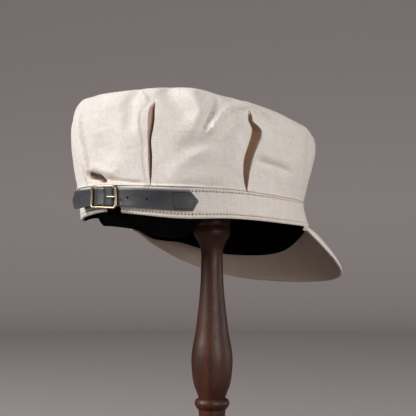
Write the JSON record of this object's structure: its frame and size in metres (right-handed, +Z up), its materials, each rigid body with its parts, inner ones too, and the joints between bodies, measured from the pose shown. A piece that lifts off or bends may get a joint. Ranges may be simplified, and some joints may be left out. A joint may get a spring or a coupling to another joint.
{
  "type": "work cap on turned hat stand",
  "caption": "Soft pleated cream denim work cap with a leather back strap and buckle, resting on a turned dark wood hat stand.",
  "frame": {"origin": "centre of the stand's flat foot, on the surface it stands on", "axes": "+Z up along the stand, -Y the way the cap's peak points, -X the wearer's right"},
  "size_m": [0.1836, 0.2598, 0.3271],
  "materials": {
    "cream_cloth": "undyed cream denim, matt, with a fine weave and faint slubs",
    "black_leather": "black smooth leather with a soft sheen",
    "antique_brass": "antique brass, satin, darker in its corners",
    "dark_wood": "dark stained hardwood, waxed, with a brown streaked grain"
  },
  "bodies": {
    "root": {"crown": "cream_cloth", "band_right": "cream_cloth", "band_left": "cream_cloth", "sweatband": "black_leather", "peak": "cream_cloth", "strap": "black_leather", "strap_keeper": "black_leather", "buckle": "antique_brass", "buckle_prong": "antique_brass", "stand": "dark_wood"}
  },
  "joints": []
}
